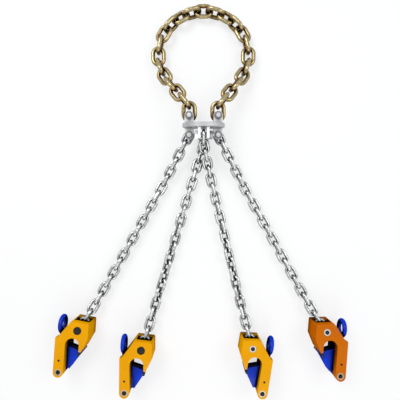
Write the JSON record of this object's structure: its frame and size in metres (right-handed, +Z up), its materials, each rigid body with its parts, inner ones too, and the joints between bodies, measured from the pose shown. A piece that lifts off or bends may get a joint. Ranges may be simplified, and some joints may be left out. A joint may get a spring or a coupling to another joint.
{
  "type": "drum lifter",
  "caption": "Chain sling for lifting drums: a lifting loop and round gathering plate carry chain legs that end in sprung rim clamps with finger-ring jaw levers, laid out flat",
  "frame": {"origin": "middle of the flat-lay footprint, on the floor", "axes": "+Y from the clamps towards the lifting loop, +Z up from the floor, +X to the right"},
  "size_m": [0.5394, 0.7516, 0.08],
  "materials": {
    "plate": "matte light grey zinc",
    "lug": "zinc plated",
    "bolt": "zinc plated",
    "gold_chain": "yellow chromate over steel",
    "leg_chain": "bright galvanised",
    "clamp_paint": "orange-yellow enamel",
    "jaw_paint": "royal blue enamel",
    "black_pin": "black oxide",
    "bright_pin": "bright zinc",
    "spring_steel": "oiled spring steel"
  },
  "bodies": {
    "head": {"gathering_plate": "plate", "upper_lugs": "lug", "lower_lugs": "lug", "upper_bolts": "bolt", "lower_bolts": "bolt", "upper_nuts": "bolt", "lower_nuts": "bolt"},
    "loop_end_left": {"loop_end_link_left": "gold_chain"},
    "loop_end_right": {"loop_end_link_right": "gold_chain"},
    "loop_sides": {"loop_side_left": "gold_chain", "loop_side_right": "gold_chain"},
    "loop_crown": {"loop_crown": "gold_chain"},
    "leg_1_top": {"leg_1_top_link": "leg_chain"},
    "leg_1_upper": {"leg_1_upper_run": "leg_chain"},
    "leg_1_lower": {"leg_1_lower_run": "leg_chain"},
    "clamp_1": {"clamp_1_body": "clamp_paint", "clamp_1_pivot_pin": "bright_pin", "clamp_1_chain_pin": "black_pin", "clamp_1_pin_ring": "bright_pin", "clamp_1_spring": "spring_steel", "clamp_1_stub_pins": "spring_steel"},
    "jaw_1": {"clamp_1_jaw_lever": "jaw_paint"},
    "leg_2_top": {"leg_2_top_link": "leg_chain"},
    "leg_2_upper": {"leg_2_upper_run": "leg_chain"},
    "leg_2_lower": {"leg_2_lower_run": "leg_chain"},
    "clamp_2": {"clamp_2_body": "clamp_paint", "clamp_2_pivot_pin": "bright_pin", "clamp_2_chain_pin": "black_pin", "clamp_2_pin_ring": "bright_pin", "clamp_2_spring": "spring_steel", "clamp_2_stub_pins": "spring_steel"},
    "jaw_2": {"clamp_2_jaw_lever": "jaw_paint"},
    "leg_3_top": {"leg_3_top_link": "leg_chain"},
    "leg_3_upper": {"leg_3_upper_run": "leg_chain"},
    "leg_3_lower": {"leg_3_lower_run": "leg_chain"},
    "clamp_3": {"clamp_3_body": "clamp_paint", "clamp_3_pivot_pin": "bright_pin", "clamp_3_chain_pin": "black_pin", "clamp_3_pin_ring": "bright_pin", "clamp_3_spring": "spring_steel", "clamp_3_stub_pins": "spring_steel"},
    "jaw_3": {"clamp_3_jaw_lever": "jaw_paint"},
    "leg_4_top": {"leg_4_top_link": "leg_chain"},
    "leg_4_upper": {"leg_4_upper_run": "leg_chain"},
    "leg_4_lower": {"leg_4_lower_run": "leg_chain"},
    "clamp_4": {"clamp_4_body": "clamp_paint", "clamp_4_pivot_pin": "bright_pin", "clamp_4_chain_pin": "black_pin", "clamp_4_pin_ring": "bright_pin", "clamp_4_spring": "spring_steel", "clamp_4_stub_pins": "spring_steel"},
    "jaw_4": {"clamp_4_jaw_lever": "jaw_paint"}
  },
  "joints": [
    {"name": "loop_sway_left", "type": "hinge", "parent": "head", "child": "loop_end_left", "pos_m": [-0.02334, 0.14294, 0.04321], "axis": [0, -0.1736, 0.9848], "range_deg": [-5, 5]},
    {"name": "loop_sway_sides", "type": "hinge", "parent": "loop_end_left", "child": "loop_sides", "pos_m": [-0.02334, 0.16637, 0.04734], "axis": [0, -0.1736, 0.9848], "range_deg": [-5, 5]},
    {"name": "loop_sway_right", "type": "hinge", "parent": "head", "child": "loop_end_right", "pos_m": [0.03066, 0.14294, 0.04321], "axis": [0, -0.1736, 0.9848], "range_deg": [-5, 5]},
    {"name": "loop_crown_fold", "type": "hinge", "parent": "loop_sides", "child": "loop_crown", "pos_m": [-0.08555, 0.28563, 0.01478], "axis": [1, 0, 0], "range_deg": [0, 50]},
    {"name": "leg_1_on_lug", "type": "hinge", "parent": "head", "child": "leg_1_top", "pos_m": [-0.02334, 0.10748, 0.03696], "axis": [0, -0.1736, 0.9848], "range_deg": [-30, 0]},
    {"name": "leg_1_second_link", "type": "hinge", "parent": "leg_1_top", "child": "leg_1_upper", "pos_m": [-0.032, 0.09228, 0.03428], "axis": [-0.8721, 0.4819, 0.085], "range_deg": [0, 35]},
    {"name": "leg_1_mid_link", "type": "hinge", "parent": "leg_1_upper", "child": "leg_1_lower", "pos_m": [-0.09406, -0.01851, 0.01132], "axis": [0, 0, 1], "range_deg": [-15, 0]},
    {"name": "clamp_1_on_chain", "type": "hinge", "parent": "leg_1_lower", "child": "clamp_1", "pos_m": [-0.22637, -0.2543, 0.024], "axis": [0, 0, 1], "range_deg": [-26, 10]},
    {"name": "jaw_1_pivot", "type": "hinge", "parent": "clamp_1", "child": "jaw_1", "pos_m": [-0.26056, -0.3283, 0.024], "axis": [0, 0, 1], "range_deg": [0, 28], "stiffness_Nm_per_rad": 0.4, "springref_deg": -28.65},
    {"name": "leg_2_on_lug", "type": "hinge", "parent": "head", "child": "leg_2_top", "pos_m": [0.00366, 0.11217, 0.01037], "axis": [-1, 0, 0], "range_deg": [0, 10]},
    {"name": "leg_2_second_link", "type": "hinge", "parent": "leg_2_top", "child": "leg_2_upper", "pos_m": [0.00366, 0.09447, 0.01042], "axis": [0, 0.0029, 1], "range_deg": [0, 4]},
    {"name": "leg_2_mid_link", "type": "hinge", "parent": "leg_2_upper", "child": "leg_2_lower", "pos_m": [-0.02822, -0.01248, 0.01106], "axis": [0, 0, 1], "range_deg": [0, 2.5]},
    {"name": "clamp_2_on_chain", "type": "hinge", "parent": "leg_2_lower", "child": "clamp_2", "pos_m": [-0.11021, -0.28956, 0.024], "axis": [0, 0, 1], "range_deg": [-4, 18]},
    {"name": "jaw_2_pivot", "type": "hinge", "parent": "clamp_2", "child": "jaw_2", "pos_m": [-0.14022, -0.36536, 0.024], "axis": [0, 0, 1], "range_deg": [0, 28], "stiffness_Nm_per_rad": 0.4, "springref_deg": -28.65},
    {"name": "leg_3_on_lug", "type": "hinge", "parent": "head", "child": "leg_3_top", "pos_m": [0.00366, 0.10279, 0.06355], "axis": [-1, 0, 0], "range_deg": [0, 30]},
    {"name": "leg_3_second_link", "type": "hinge", "parent": "leg_3_top", "child": "leg_3_upper", "pos_m": [0.00366, 0.08883, 0.05267], "axis": [0, -0.6148, 0.7887], "range_deg": [-4, 0]},
    {"name": "leg_3_mid_link", "type": "hinge", "parent": "leg_3_upper", "child": "leg_3_lower", "pos_m": [0.02601, -0.00572, 0.01108], "axis": [0, 0, 1], "range_deg": [-2.5, 0]},
    {"name": "clamp_3_on_chain", "type": "hinge", "parent": "leg_3_lower", "child": "clamp_3", "pos_m": [0.09305, -0.28679, 0.024], "axis": [0, 0, 1], "range_deg": [-14, 4]},
    {"name": "jaw_3_pivot", "type": "hinge", "parent": "clamp_3", "child": "jaw_3", "pos_m": [0.10971, -0.36659, 0.024], "axis": [0, 0, -1], "range_deg": [0, 28], "stiffness_Nm_per_rad": 0.4, "springref_deg": -28.65},
    {"name": "leg_4_on_lug", "type": "hinge", "parent": "head", "child": "leg_4_top", "pos_m": [0.03066, 0.10748, 0.03696], "axis": [0, -0.1736, 0.9848], "range_deg": [0, 30]},
    {"name": "leg_4_second_link", "type": "hinge", "parent": "leg_4_top", "child": "leg_4_upper", "pos_m": [0.03911, 0.09216, 0.03426], "axis": [-0.8788, -0.4699, -0.0829], "range_deg": [0, 35]},
    {"name": "leg_4_mid_link", "type": "hinge", "parent": "leg_4_upper", "child": "leg_4_lower", "pos_m": [0.09961, -0.01949, 0.01131], "axis": [0, 0, 1], "range_deg": [0, 15]},
    {"name": "clamp_4_on_chain", "type": "hinge", "parent": "leg_4_lower", "child": "clamp_4", "pos_m": [0.22862, -0.2571, 0.024], "axis": [0, 0, 1], "range_deg": [-6, 33]},
    {"name": "jaw_4_pivot", "type": "hinge", "parent": "clamp_4", "child": "jaw_4", "pos_m": [0.25136, -0.33538, 0.024], "axis": [0, 0, -1], "range_deg": [0, 28], "stiffness_Nm_per_rad": 0.4, "springref_deg": -28.65}
  ],
  "couplings": [
    {"joint": "loop_sway_sides", "follows": "loop_sway_left", "ratio": -1},
    {"joint": "loop_sway_right", "follows": "loop_sway_left", "ratio": 1}
  ]
}
